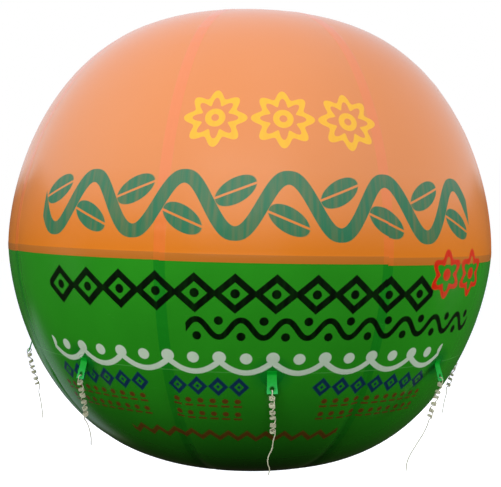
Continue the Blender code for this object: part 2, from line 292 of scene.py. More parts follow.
class Value:
    """What a node gives at each point. Sums on numbers are written as Python."""

    def __init__(self, socket):
        self.socket = socket

    def math(self, operation, *others, clamp=False):
        tree = self.socket.id_data
        node = tree.nodes.new("ShaderNodeMath")
        node.operation = operation
        node.use_clamp = clamp
        for slot, item in zip(node.inputs, (self, *others)):
            join(tree, slot, item)
        return Value(node.outputs[0])

    def reflected(self, operation, first):
        tree = self.socket.id_data
        node = tree.nodes.new("ShaderNodeMath")
        node.operation = operation
        join(tree, node.inputs[0], first)
        join(tree, node.inputs[1], self)
        return Value(node.outputs[0])

    def __add__(self, other):
        return self.math("ADD", other)

    def __sub__(self, other):
        return self.math("SUBTRACT", other)

    def __mul__(self, other):
        return self.math("MULTIPLY", other)

    def __truediv__(self, other):
        return self.math("DIVIDE", other)

    __radd__ = __add__
    __rmul__ = __mul__

    def __rsub__(self, other):
        return self.reflected("SUBTRACT", other)

    def __rtruediv__(self, other):
        return self.reflected("DIVIDE", other)

    def __neg__(self):
        return self * -1.0

    def __abs__(self):
        return self.math("ABSOLUTE")

    def __mod__(self, other):
        return self.math("FLOORED_MODULO", other)

    def __pow__(self, other):
        return self.math("POWER", other)

    def sin(self):
        return self.math("SINE")

    def cos(self):
        return self.math("COSINE")

    def root(self):
        return self.math("SQRT")

    def least(self, other):
        return self.math("MINIMUM", other)

    def most(self, other):
        return self.math("MAXIMUM", other)

    def clamped(self):
        return self.math("ADD", 0.0, clamp=True)

    def inside(self, soft=0.004):
        """A mask: 1 where this distance is below zero, 0 where it is above, soft between."""
        return (0.5 - self / soft).clamped()


class Tree:
    """The nodes of one material or of the world."""

    def __init__(self, owner):
        owner.use_nodes = True
        self.nodes = owner.node_tree.nodes
        self.tree = owner.node_tree

    def add(self, kind, settings=None, inputs=None, output=0):
        """A node of this type, with its settings made first and then its sockets."""
        node = self.nodes.new("ShaderNode" + kind)
        for key, setting in (settings or {}).items():
            if key == "stops":
                ramp = node.color_ramp.elements
                while len(ramp) < len(setting):
                    ramp.new(0.5)
                for element, (place, colour) in zip(ramp, setting):
                    element.position = place
                    element.color = colour
            else:
                setattr(node, key, setting)
        for key, item in (inputs or {}).items():
            join(self.tree, node.inputs[key], item)
        return Value(node.outputs[output])

    def fact(self, name):
        """A number stored with the mesh's points."""
        return self.add("Attribute", {"attribute_name": name}, output="Fac")

    def place(self):
        return self.add("TexCoord", output="Object")

    def noise(self, scale, detail=3.0, vector=None, rough=0.5):
        if vector is None:
            vector = self.place()
        return self.add("TexNoise", {}, {"Scale": scale, "Detail": detail,
                                         "Roughness": rough, "Vector": vector})

    def vector(self, x, y, z=0.0):
        return self.add("CombineXYZ", {}, {"X": x, "Y": y, "Z": z})

    def part(self, vector, axis):
        return self.add("SeparateXYZ", {}, {0: vector}, axis)

    def mix(self, share, first, second, blend="MIX"):
        """The first colour, with the second over it by this share."""
        return self.add("Mix", {"data_type": "RGBA", "blend_type": blend},
                        {0: share, 6: colour(first), 7: colour(second)}, 2)

    def bump(self, height, depth, strength=1.0, under=None):
        inputs = {"Height": height, "Distance": depth, "Strength": strength}
        if under is not None:
            inputs["Normal"] = under
        return self.add("Bump", {}, inputs)


def colour(item):
    return item if isinstance(item, Value) else (*item, 1.0)


class Finish(Tree):
    """A procedural material around one Principled shader."""

    def __init__(self, name, **fixed):
        self.material = bpy.data.materials.new(name)
        super().__init__(self.material)
        self.shader = self.nodes["Principled BSDF"]
        for key, value in fixed.items():
            self.shader.inputs[key.replace("_", " ")].default_value = value

    def give(self, **feeds):
        """Feed the shader's own sockets, and hand back the material."""
        for key, item in feeds.items():
            join(self.tree, self.shader.inputs[key.replace("_", " ")], item)
        return self.material


def new_piece(name, mesh, finish, body="root", stands_for=(), ride=True):
    """A piece of the dressed part, on its CAD body."""
    obj = bpy.data.objects.new(name, mesh)
    bpy.context.scene.collection.objects.link(obj)
    mesh.materials.append(finish)
    if ride:
        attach(obj, body)
    if stands_for:
        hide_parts(*stands_for)
    return obj


def mesh_of(name, points, faces, facts=None, sharp=50):
    """A closed smooth-shaded mesh with its faces out, and numbers stored at its points."""
    mesh = bpy.data.meshes.new(name)
    mesh.from_pydata([tuple(p) for p in points], [], faces)
    bm = bmesh.new()
    bm.from_mesh(mesh)
    bmesh.ops.recalc_face_normals(bm, faces=bm.faces)
    bm.to_mesh(mesh)
    bm.free()
    for key, values in (facts or {}).items():
        layer = mesh.attributes.new(key, "FLOAT", "POINT")
        layer.data.foreach_set("value", values)
    mesh.shade_smooth()
    mesh.set_sharp_from_angle(angle=math.radians(sharp))
    return mesh


def closed_grid(outer, inner):
    """The points and faces of a solid between two grids of points that match."""
    rows, columns = len(outer), len(outer[0])
    points = [p for side in (outer, inner) for row in side for p in row]

    def at(side, i, j):
        return (side * rows + i) * columns + j

    faces = []
    for i in range(rows - 1):
        for j in range(columns - 1):
            for side in (0, 1):
                faces.append((at(side, i, j), at(side, i, j + 1),
                              at(side, i + 1, j + 1), at(side, i + 1, j)))
        for j in (0, columns - 1):
            faces.append((at(0, i, j), at(1, i, j), at(1, i + 1, j), at(0, i + 1, j)))
    for j in range(columns - 1):
        for i in (0, rows - 1):
            faces.append((at(0, i, j), at(0, i, j + 1), at(1, i, j + 1), at(1, i, j)))
    return points, faces


def turned(profile, sides, place=Matrix.Identity(4), ribs=None):
    """Points and faces of a profile of (radius, height) turned about Z, from axis to axis."""
    points = [place @ Vector((0, 0, profile[0][1])), place @ Vector((0, 0, profile[-1][1]))]
    rings = profile[1:-1]
    for radius, height in rings:
        for j in range(sides):
            angle = 2 * math.pi * j / sides
            wide = radius + (ribs(angle, radius, height) if ribs else 0.0)
            points.append(place @ Vector((wide * math.cos(angle), wide * math.sin(angle), height)))
    faces = []
    last = 2 + (len(rings) - 1) * sides
    for j in range(sides):
        k = (j + 1) % sides
        faces.append((0, 2 + j, 2 + k))
        faces.append((1, last + k, last + j))
        for i in range(len(rings) - 1):
            a = 2 + i * sides
            faces.append((a + j, a + k, a + sides + k, a + sides + j))
    return points, faces


def smooth_route(points, spacing):
    """Points at an even spacing on a smooth curve through the given ones."""
    dense = []
    ends = [2 * points[0] - points[1]] + points + [2 * points[-1] - points[-2]]
    for a, b, c, d in zip(ends, ends[1:], ends[2:], ends[3:]):
        for i in range(8):
            t = i / 8
            dense.append(0.5 * (2 * b + (c - a) * t + (2 * a - 5 * b + 4 * c - d) * t ** 2
                                + (3 * b - a - 3 * c + d) * t ** 3))
    dense.append(points[-1])
    return spaced(dense, spacing)


def spaced(dense, spacing):
    """Points at an even spacing along a fine line."""
    run = [0.0]
    for a, b in zip(dense, dense[1:]):
        run.append(run[-1] + (b - a).length)
    count = max(2, round(run[-1] / spacing))
    route = []
    j = 0
    for i in range(count + 1):
        want = run[-1] * i / count
        while j < len(run) - 2 and run[j + 1] < want:
            j += 1
        share = (want - run[j]) / max(1e-9, run[j + 1] - run[j])
        route.append(dense[j].lerp(dense[j + 1], share))
    return route


def wound_knots(index, length):
    """Steps down a bundle and round it: runs of close turns with steep necks between.
    The slope changes as fast as the tightest bend leaves room for."""
    flat = math.atan(TURN_PITCH / (2 * math.pi * TURN_RADIUS))
    legs = []
    for knot in range(KNOTS):
        turns = TURNS + 0.55 * math.sin(2.3 * index + 1.9 * knot)
        legs.append((flat, turns * 2 * math.pi * TURN_RADIUS))
        legs.append((NECK_SLOPE, NECK_HOLD * (1 + math.sin(1.1 * index + 2.6 * knot))))
    legs[-1] = (END_SLOPE, 0.0)
    steps = []
    down = angle = 0.0
    slope = END_SLOPE
    for goal, hold in legs:
        left = hold
        while slope != goal or left > 0:
            radius = TURN_RADIUS - NECK_DRAW * math.sin(slope) ** 2
            if slope == goal:
                left -= WINDING_STEP
            else:
                wound = math.cos(slope) ** 2 / radius
                most = WINDING_STEP * math.sqrt(TIGHTEST_BEND ** -2 - wound ** 2)
                slope += clamped(goal - slope, -most, most)
            down += math.sin(slope) * WINDING_STEP
            angle += math.cos(slope) * WINDING_STEP / radius
            steps.append((down, angle, radius))
    stretch = length / steps[-1][0]
    return [(down * stretch, angle, radius) for down, angle, radius in steps]


def rope_route(index, direction):
    """The middle line of a rope: up behind its tab, out through the eyelet, down in knots
    round its own end, and on down as the loose tail. From the hinge line, -Y outward."""
    start = TAB_DOWN * BUNDLE_START
    side = math.radians(SIDE_LEAN[direction])
    along = Vector((math.sin(side), math.sin(BUNDLE_LEAN), -math.cos(BUNDLE_LEAN))).normalized()
    outward = Vector((0, -1, 0))
    outward = (outward - along * outward.dot(along)).normalized()
    across = along.cross(outward)
    points = [TAB_DOWN * down + TAB_OUT * out for down, out in BACK_LEG]
    bends = 8
    for i in range(bends + 1):
        angle = math.pi * i / bends
        points.append(TAB_DOWN * (LOOP_DOWN - LOOP_RADIUS * math.sin(angle))
                      - TAB_OUT * (LOOP_RADIUS * math.cos(angle)))
    points += [start + along * down + outward * out for down, out in FRONT_LEG]
    line = smooth_route(points, WINDING_STEP)
    wander = 0.0018
    for down, angle, radius in wound_knots(index, BUNDLE_LENGTH - 0.006):
        if down < 0.002:
            continue
        tilt = 0.20 * math.sin(down * 34 + index)
        reach = outward * math.cos(angle) + across * math.sin(angle)
        drift = (across * math.sin(down * 31 + 2 * index)
                 + outward * math.sin(down * 23 + index)) * wander * smooth(0, 0.04, down)
        line.append(start + along * (down + tilt * radius * math.cos(angle) * smooth(0, 0.03, down))
                    + reach * radius + drift)
    end = start + along * BUNDLE_LENGTH
    tail = [end + Vector((right, -out, up)) for right, out, up in TAILS[direction]]
    line += smooth_route([line[-1]] + tail, WINDING_STEP)[1:]
    for _ in range(6):
        line[1:-1] = [(a + b * 2 + c) / 4 for a, b, c in zip(line, line[1:], line[2:])]
    return spaced(line, WINDING_STEP)


def rope_tube(route):
    """A three-strand laid rope along a route, with how deep each point is in its lay."""
    points, lay, runs = [], [], []
    forward = (route[1] - route[0]).normalized()
    side = forward.orthogonal().normalized()
    count = len(route)
    for i, middle in enumerate(route):
        forward = (route[min(i + 1, count - 1)] - route[max(i - 1, 0)]).normalized()
        side = (side - forward * side.dot(forward)).normalized()
        other = forward.cross(side)
        twist = 2 * math.pi * i * WINDING_STEP / STRAND_TURN
        end = min(i, count - 1 - i)
        taper = 1.0 if end > 1 else (0.72, 0.93)[end]
        for j in range(STRAND_SIDES):
            angle = 2 * math.pi * j / STRAND_SIDES
            crown = 0.5 + 0.5 * math.cos(3 * angle)
            wide = ROPE / 2 * (0.80 + 0.20 * crown) * taper
            turned_by = angle + twist
            points.append(middle + (side * math.cos(turned_by) + other * math.sin(turned_by)) * wide)
            lay.append(crown)
            runs.append(i * WINDING_STEP)
    faces = []
    for i in range(count - 1):
        a = i * STRAND_SIDES
        for j in range(STRAND_SIDES):
            k = (j + 1) % STRAND_SIDES
            faces.append((a + j, a + k, a + STRAND_SIDES + k, a + STRAND_SIDES + j))
    faces.append(tuple(range(STRAND_SIDES)))
    faces.append(tuple(range((count - 1) * STRAND_SIDES, count * STRAND_SIDES)))
    return points, faces, {"lay": lay, "run": runs}


def tether_rope(index, direction, finish):
    place = hinge_place(index)
    route = [place @ p for p in rope_route(index, direction)]
    points, faces, facts = rope_tube(route)
    rope = new_piece(f"tether_rope_{direction}", mesh_of("rope", points, faces, facts, 80),
                     finish, f"tether_{direction}",
                     (f"rope_bundle_{direction}", f"rope_tail_{direction}"))
    length = sum((b - a).length for a, b in zip(route, route[1:]))
    return rope


def gore_columns(half):
    """Distances from the seam to the middle of a gore, close together near the seam."""
    near = [0.0, 0.014, 0.027, SEAM_HALF, 0.036]
    steps = 15
    return near + [near[-1] + (half - near[-1]) * (i / steps) ** 1.35
                   for i in range(1, steps + 1)]


def film_lift(side, seam_name, run, seam, point):
    """How far the film stands out of the plain outline."""
    pole = RUNS[-1] - run if side > 0 else run - RUNS[0]
    fade = smooth(0.0, 0.16, pole)
    lift = SEAM_PROUD * (1 - smooth(SEAM_HALF - 0.004, SEAM_HALF + 0.003, seam)) * fade
    near = math.exp(-max(0.0, seam - 0.012) / 0.055)
    ripple = noise.noise(Vector((run * 15, seam_name * 7.3, seam * 9)))
    ripple += 0.6 * noise.noise(Vector((run * 31, seam_name * 3.1, seam * 14 + 5)))
    lift += PUCKER * ripple * near * fade
    lift += 0.0022 * noise.noise(point * 1.7) * fade
    if side > 0:
        lift += LAP_PROUD * (1 - smooth(LAP_HEIGHT - 0.002, LAP_HEIGHT + 0.004, run))
    else:
        deep = smooth(-TAB_RUN - 0.06, -TAB_RUN + 0.20, -run) * smooth(0.38, 0.72, pole)
        lift -= VALLEY * deep * math.exp(-(seam / 0.034) ** 2)
    return lift


def settle_on_facet(point, middle):
    """Press the film flat under the weld patch, with small tucks round it."""
    turn = Matrix.Rotation(middle, 3, "Z")
    local = turn.transposed() @ point - FACET
    up = local.dot(FACET_UP)
    out = local.dot(FACET_OUT)
    lower = up + STRIP_HEIGHT / 2
    away = math.hypot(local.x, lower)
    if away > 0.2:
        return point, away
    hold = 1 - smooth(0.068, 0.160, away)
    tuck = 0.0010 * math.sin(11 * math.atan2(lower, local.x)) * smooth(0.062, 0.075, away) * hold
    moved = (-0.0003 - out) * hold + tuck
    return point + turn @ FACET_OUT * moved, away


def film_gore(index, direction, side, finish):
    """One welded film panel, from the colour edge to the pole patch."""
    middle = index * GORE_ANGLE
    step = EDGE_STEP.get(direction, 0.0)
    if side > 0:
        near, last, count = [0.0, 0.012, 0.036, 0.041, 0.046], RUNS[-1], 118
    else:
        near, last, count = [0.0, -0.012], RUNS[0], 124
    rows = near + [near[-1] + (last - near[-1]) * i / count for i in range(1, count + 1)]
    outer, inner = [], []
    facts = {"run": [], "turn": [], "seam": [], "patch": []}
    for run in rows:
        t = t_of_run(run + step * (1 - smooth(0.0, 0.35, abs(run))))
        r, z = outline(t)
        flat = outline_normal(t)
        half = r * GORE_ANGLE / 2
        from_seam = gore_columns(half)
        columns = [(-1, d) for d in from_seam] + [(1, d) for d in reversed(from_seam[:-1])]
        outer_row, inner_row = [], []
        for hand, seam in columns:
            angle = hand * (half - seam) / r
            phi = middle + angle
            base = around(phi, r * lobe(angle), z)
            normal = around(phi, flat.x, flat.y)
            seam_name = (index + (1 if hand > 0 else 0)) % GORES
            point = base + normal * film_lift(side, seam_name, run, seam, base)
            away = 1.0
            if side < 0:
                point, away = settle_on_facet(point, middle)
            outer_row.append(point)
            inner_row.append(point - normal * FILM)
            facts["run"].append(run)
            facts["turn"].append(math.degrees(phi if phi <= math.pi else phi - 2 * math.pi)
                                 if index != 4 else math.degrees(phi))
            facts["seam"].append(seam)
            facts["patch"].append(away)
        outer.append(outer_row)
        inner.append(inner_row)
    points, faces = closed_grid(outer, inner)
    facts = {key: values * 2 for key, values in facts.items()}
    level = "upper" if side > 0 else "lower"
    return new_piece(f"film_{level}_{direction}", mesh_of("film", points, faces, facts),
                     finish, "root",
                     (f"gore_{level}_{direction}",))


def crown_patch(name, side, finish, stands_for):
    """The round film patch over the tips of the gores, following their dome."""
    reach = POLE_PATCH_RADIUS + 0.008
    profile = []
    rings = 22
    for i in range(rings + 1):
        radius = reach * i / rings
        t = t_of_radius(max(radius, 0.001), side)
        proud = 0.0022 * (1 - 0.6 * smooth(reach - 0.006, reach, radius))
        proud += 0.0008 * math.exp(-((radius - reach + 0.022) / 0.004) ** 2)
        profile.append((radius, outline(t)[1] + side * proud))
    profile[0] = (0.0, profile[1][1])
    under = outline(t_of_radius(reach, side))[1] - side * 0.0005
    profile += [(reach - 0.001, under), (0.0, under - side * 0.004)]
    points, faces = turned(profile, 96)
    facts = {"away": [math.hypot(p.x, p.y) for p in points]}
    return new_piece(name, mesh_of(name, points, faces, facts), finish, "root", stands_for)


def weld_patch(index, direction, finish):
    """A thin round patch welded on the film, with a pressed ring and a soft edge."""
    rings = (0.0, 0.010, 0.024, 0.030, 0.036, 0.042, 0.046, 0.048, 0.050, 0.053, 0.056, 0.0585)
    profile = []
    for radius in rings:
        pressed = 0.0003 * math.exp(-((radius - 0.048) / 0.0020) ** 2)
        edge = 0.0026 * smooth(0.024, 0.062, radius)
        profile.append((radius, 0.0031 - pressed - edge))
    profile += [(PATCH_RADIUS, 0.0004), (0.0, 0.0001)]
    place = facet_place(index) @ Matrix.Translation((0, -STRIP_HEIGHT / 2, 0))
    points, faces = turned(profile, 64, place)
    back = place.inverted()
    facts = {"away": [(back @ p).to_2d().length for p in points],
             "turn": [math.degrees(math.atan2(p.x, -p.y)) for p in points],
             "run": [TAB_RUN + (back @ p).y - STRIP_HEIGHT / 2 for p in points]}
    return new_piece(f"patch_film_{direction}", mesh_of("patch", points, faces, facts, 40),
                     finish, "root", (f"weld_patch_{direction}",))


def tab_pattern():
    """The flat cut of a tab: points across and down from the hinge line, and its quads."""
    columns = 12
    top = -STRIP_HEIGHT - 0.0025
    square = 0.055
    rows = 20
    points, faces = [], []
    for i in range(rows + 1):
        down = top + (square - top) * i / rows
        for j in range(columns + 1):
            points.append((TAB_WIDTH * (j / columns - 0.5), down))
    for i in range(rows):
        for j in range(columns):
            a = i * (columns + 1) + j
            faces.append((a, a + 1, a + columns + 2, a + columns + 1))
    rim = []
    half, low = TAB_WIDTH / 2, TAB_LENGTH
    for k in range(columns):
        rim.append((half * (2 * k / columns - 1), square))
    for k in range(columns):
        rim.append((half, square + (low - square) * k / columns))
    for k in range(columns):
        rim.append((half * (1 - 2 * k / columns), low))
    for k in range(columns):
        rim.append((-half, low - (low - square) * k / columns))
    reaches = (0.010, 0.0108, 0.012, 0.0140, 0.0160, 0.0172, 0.0185)
    rings = []
    for reach in reaches:
        ring = []
        for x, down in rim:
            way = Vector((x, down - EYELET_DOWN)).normalized() * reach
            ring.append(len(points))
            points.append((way.x, EYELET_DOWN + way.y))
        rings.append(ring)
    for share in (0.4, 1.0):
        ring = []
        for (x, down), inner in zip(rim, rings[len(reaches) - 1]):
            ring.append(len(points))
            points.append((points[inner][0] + (x - points[inner][0]) * share,
                           points[inner][1] + (down - points[inner][1]) * share))
        rings.append(ring)
    for inner, outer in zip(rings, rings[1:]):
        for k in range(len(rim)):
            m = (k + 1) % len(rim)
            faces.append((inner[k], inner[m], outer[m], outer[k]))
    return points, faces


def tab_surface(x, down, index):
    """Where a point of the flat cut lies: on the weld patch above the hinge line,
    bent over it, and hanging below. From the hinge line, -Y outward. And the way out."""
    bend = 0.007
    turn = smooth(-bend, bend, down)
    if down < -bend:
        along, way_out = FACET_UP * -down, FACET_OUT
        drop = -0.0008
    else:
        share = clamped((down + bend) / (2 * bend))
        first, corner, second = FACET_UP * bend, Vector((0, 0, 0)), TAB_DOWN * bend
        if down <= bend:
            along = first * (1 - share) ** 2 + corner * 2 * share * (1 - share) + second * share ** 2
        else:
            along = TAB_DOWN * down
        way_out = FACET_OUT.lerp(TAB_OUT, turn).normalized()
        drop = -0.0008 * (1 - turn)
    hang = smooth(0.01, TAB_LENGTH, down)
    flare = 1 + (TAB_FLARE - 1) * hang + 0.05 * hang ** 3 * (1 if x > 0 else 0)
    curl = 0.0022 * hang * (x / (TAB_WIDTH / 2)) ** 2 - 0.0008 * hang
    curl += 0.0008 * hang * math.sin(down * 75 + 2.1 * index + x * 40)
    away = math.hypot(x, down - EYELET_DOWN)
    curl *= smooth(0.017, 0.030, away)
    thin = 0.0015 + 0.0010 * smooth(0.0103, 0.0120, away) * (1 - smooth(0.0155, 0.0172, away))
    if down < 0:
        thin = 0.0015
    return (along + Vector((x * flare, 0, 0)) + way_out * (drop + curl)), way_out * thin


def tether_tab(index, direction, finish):
    """A film tab that is welded on above the hinge line and bends over it."""
    flat, quads = tab_pattern()
    place = hinge_place(index)
    bm = bmesh.new()
    hole = bm.verts.layers.float.new("away")
    length = bm.verts.layers.float.new("down")
    front, back = [], []
    for x, down in flat:
        middle, thick = tab_surface(x, down, index)
        for side, verts in ((1, front), (-1, back)):
            vert = bm.verts.new(place @ (middle + thick * side))
            vert[hole] = math.hypot(x, down - EYELET_DOWN)
            vert[length] = down
            verts.append(vert)
    count = {}
    for quad in quads:
        bm.faces.new([front[k] for k in quad])
        bm.faces.new([back[k] for k in reversed(quad)])
    bmesh.ops.remove_doubles(bm, verts=bm.verts, dist=0.00005)
    edges = [e for e in bm.edges if e.is_boundary]
    bmesh.ops.bridge_loops(bm, edges=[e for e in edges if rim_distance(e, hole) < 0.0105])
    edges = [e for e in bm.edges if e.is_boundary]
    bmesh.ops.bridge_loops(bm, edges=edges)
    bmesh.ops.recalc_face_normals(bm, faces=bm.faces)
    mesh = bpy.data.meshes.new("tab")
    bm.to_mesh(mesh)
    bm.free()
    mesh.shade_smooth()
    mesh.set_sharp_from_angle(angle=math.radians(50))
    tab = new_piece(f"tab_film_{direction}", mesh, finish,
                    stands_for=(f"tether_tab_{direction}",), ride=False)
    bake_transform(tab)
    return tab


def rim_distance(edge, layer):
    return max(v[layer] for v in edge.verts)


def filling_valve(finishes):
    """A welded flange, a threaded neck and a ribbed cap, where the CAD has them."""
    low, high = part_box("valve_flange")
    wide = (high.x - low.x) / 2
    profile = [(0.0, high.z), (wide - 0.003, high.z), (wide - 0.001, high.z - 0.0008),
               (wide, high.z - 0.0022), (wide, low.z + 0.0018), (wide - 0.0015, low.z + 0.0003),
               (wide - 0.010, low.z), (wide - 0.012, low.z + 0.0006), (wide - 0.014, low.z),
               (0.040, low.z), (0.0, low.z)]
    points, faces = turned(profile, 72)
    new_piece("valve_flange_plate", mesh_of("flange", points, faces), finishes["valve"], "root",
              ("valve_flange",))

    low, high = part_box("valve_neck")
    wide = (high.x - low.x) / 2
    profile = [(0.0, high.z), (wide, high.z), (wide, high.z - 0.006)]
    ridges = 4
    for i in range(ridges):
        z = high.z - 0.007 - i * 0.0052
        profile += [(wide - 0.0022, z - 0.0006), (wide - 0.0022, z - 0.0022),
                    (wide - 0.0003, z - 0.0032), (wide - 0.0003, z - 0.0042)]
    profile += [(wide - 0.002, low.z + 0.001), (wide - 0.003, low.z), (0.0, low.z)]
    points, faces = turned(profile, 64)
    new_piece("valve_neck_thread", mesh_of("neck", points, faces, sharp=30), finishes["valve"],
              "root", ("valve_neck",))

    low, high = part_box("valve_cap")
    wide = (high.x - low.x) / 2
    grips = 30

    def ribs(angle, radius, height):
        if radius < wide - 0.0012 or not low.z + 0.003 < height < high.z - 0.001:
            return 0.0
        return -0.0016 * (0.5 - 0.5 * math.cos(grips * angle)) ** 2

    profile = [(0.0, high.z), (wide - 0.002, high.z), (wide - 0.0008, high.z - 0.0006),
               (wide, high.z - 0.0016), (wide, high.z - 0.008), (wide, low.z + 0.0045),
               (wide - 0.0006, low.z + 0.0024), (wide - 0.0024, low.z + 0.0006),
               (wide - 0.005, low.z), (0.026, low.z), (0.0245, low.z + 0.0012),
               (0.0, low.z + 0.0012)]
    points, faces = turned(profile, grips * 8, ribs=ribs)
    new_piece("valve_cap_ribbed", mesh_of("cap", points, faces, sharp=30), finishes["cap"],
              "root", ("valve_cap",))


# The film's colours, as linear light
ORANGE = (0.74, 0.198, 0.005)
ORANGE_SUNNED = (0.76, 0.210, 0.009)
CORAL = (0.84, 0.170, 0.022)
LAP_ORANGE = (0.53, 0.165, 0.018)
CROWN_ORANGE = (0.72, 0.240, 0.070)
CROWN_DEEP = (0.62, 0.200, 0.045)
# A pale veil for dust and for painted sheen, the sky's reflection on the upper film
DUST_AND_SHEEN = (0.86, 0.84, 0.78)
GREEN = (0.024, 0.300, 0.012)
GREEN_DEEP = (0.016, 0.225, 0.008)
STRIP_GREEN = (0.003, 0.215, 0.010)
TEAL = (0.003, 0.190, 0.016)
PATCH_GREEN = (0.004, 0.200, 0.013)
TAB_GREEN = (0.001, 0.350, 0.018)
TAB_GREEN_PALE = (0.034, 0.490, 0.110)
TAB_GREEN_WORN = (0.003, 0.230, 0.020)
SOIL = (0.030, 0.050, 0.020)

# The painted ornament's colours, as linear light
YELLOW = (0.92, 0.475, 0.004)
BRUSHED_GREEN = (0.016, 0.165, 0.068)
BLACK = (0.001, 0.005, 0.001)
WHITE = (0.60, 0.730, 0.560)
NAVY = (0.005, 0.020, 0.085)
RED = (0.66, 0.020, 0.003)
BROWN_RED = (0.145, 0.026, 0.006)


def flat_place(shader, run):
    """Where a point lies across a row at this run, and up from the row's middle. The rows
    stand on the front and again on the back."""
    radius = outline(t_of_run(run))[0]
    turn = shader.fact("turn")
    facing = (turn + 90.0) % 180.0 - 90.0
    across = facing * math.radians(radius)
    return across, shader.fact("run") - run


def between(value, low, high):
    """A mask of where a value is from low to high."""
    return (abs(value - (low + high) / 2) - (high - low) / 2).inside(0.002)


def rosettes(shader):
    """Yellow rosettes of eight petals with a round eye."""
    x, y = flat_place(shader, 0.745)
    cell = 0.345
    middle = 0.030
    within = between(x, middle - 1.5 * cell, middle + 1.5 * cell)
    x = (x - middle + cell / 2) % cell - cell / 2
    away = (x * x + y * y).root()
    petals = (y.math("ARCTAN2", x) * 8.0).cos()
    ring = abs(away - (0.118 + 0.023 * petals)) - 0.023
    eye = abs(away - 0.036) - 0.016
    return ring.least(eye).inside() * within


def vine(shader):
    """A dark green brushed vine with leaves in its bends."""
    x, y = flat_place(shader, 0.285)
    within = between(x, -1.40, 1.25)
    wave = 0.53
    turn = (x + 0.08) * (2 * math.pi / wave)
    high = 0.142
    slope = turn.cos() * (high * 2 * math.pi / wave)
    stem = abs(y - turn.sin() * high) / (slope * slope + 1.0).root() - 0.036
    half = (x + 0.08) % (wave / 2) - wave / 4
    low = y * turn.sin().math("SIGN") + 0.072
    lean = low + half * 0.40
    leaf = ((half / 0.104) ** 2 + (lean / 0.070) ** 2).root() - 1.0
    vein = abs(lean) - 0.006
    leaf = (leaf * 0.06).most(-vein)
    return stem.least(leaf).inside() * within


def lozenges(shader):
    """A black chain of lozenges with a dot in each."""
    x, y = flat_place(shader, -0.155)
    cell = 0.205
    within = between(x, -6.5 * cell, 4.5 * cell)
    x = (x + cell / 2) % cell - cell / 2
    away = abs(x) / 0.1025 + abs(y) / 0.088 - 1.0
    chain = abs(away * 0.067 + 0.006) - 0.0175
    dot = (x * x + y * y).root() - 0.024
    return chain.least(dot).inside() * within


def edge_rosettes(shader):
    """Two red rings of six petals that stand across the colour edge."""
    x, y = flat_place(shader, -0.055)
    cell = 0.262
    first = 0.90
    within = between(x, first, first + 2 * cell)
    x = (x - first) % cell - cell / 2
    away = (x * x + y * y).root()
    petals = (y.math("ARCTAN2", x) * 6.0).cos()
    ring = abs(away - (0.096 - 0.020 * petals)) - 0.020
    eye = away - 0.034
    return ring.least(eye).inside() * within


def waves(shader):
    """A black running wave with a dot in each bend."""
    x, y = flat_place(shader, -0.338)
    cell = 0.225
    within = between(x, -2 * cell, 6 * cell)
    turn = x * (2 * math.pi / cell)
    high = 0.046
    slope = turn.cos() * (high * 2 * math.pi / cell)
    line = abs(y - turn.sin() * high) / (slope * slope + 1.0).root() - 0.0155
    half = x % (cell / 2) - cell / 4
    low = y * turn.sin().math("SIGN") + 0.042
    dot = (half * half + low * low).root() - 0.023
    return line.least(dot).inside() * within


def garland(shader):
    """An off-white garland of shallow arcs with round beads."""
    x, y = flat_place(shader, -0.525)
    cell = 0.270
    within = between(x, -5.0 * cell, 4.0 * cell)
    half = x % cell - cell / 2
    arc = half * half * 3.6 - 0.060
    slope = half * 7.2
    line = abs(y - arc) / (slope * slope + 1.0).root() - 0.0155
    bead = (half * half + (y - 0.022) * (y - 0.022)).root() - 0.031
    corner = cell / 2 - abs(half)
    knob = (corner * corner + (y - 0.026) * (y - 0.026)).root() - 0.034
    return line.least(bead).least(knob).inside() * within


def groups(x, cell):
    """Three stretches of the front, where the small rows stand, each of whole cells."""
    ends = [round(end / cell) * cell for end in (-1.30, -0.65, -0.53, -0.12, 0.23, 0.97)]
    return (between(x, *ends[0:2]).most(between(x, *ends[2:4]))
            .most(between(x, *ends[4:6])))


def diamonds(shader):
    """Navy diamonds in three groups."""
    x, y = flat_place(shader, -0.675)
    cell = 0.108
    within = groups(x, cell)
    x = x % cell - cell / 2
    away = (abs(x) / 0.053 + abs(y) / 0.060 - 1.0) * 0.040
    ring = abs(away + 0.0105) - 0.0105
    return ring.least(away + 0.032).inside() * within


def red_dots(shader):
    """Two rows of small red dots with dashes under them, below the diamonds."""
    x, y = flat_place(shader, -0.822)
    cell, pitch = 0.064, 0.090
    within = groups(x, cell) * between(y, -pitch, pitch)
    x = x % cell - cell / 2
    y = y % pitch - pitch / 2
    dots = (x * x + (y - 0.008) * (y - 0.008)).root() - 0.0165
    dash = (abs(x) - 0.022).most(abs(y + 0.027) - 0.0065)
    return dots.least(dash).inside() * within


def chevrons(shader):
    """A brown-red row of chevrons low on the film."""
    x, y = flat_place(shader, -1.030)
    within = between(x, -0.76, 0.40)
    cell = 0.098
    half = abs(x % cell - cell / 2)
    line = abs(y - half * 1.1 + 0.026) - 0.021
    return line.inside() * within


def painted(shader, film, rows, brush):
    """The film's colour with rows of ornament over it, and where the paint lies."""
    covered = None
    for mask, tint, fill in rows:
        film = shader.mix(mask * (fill - brush * 0.16), film, tint)
        covered = mask if covered is None else covered.most(mask)
    return film, covered


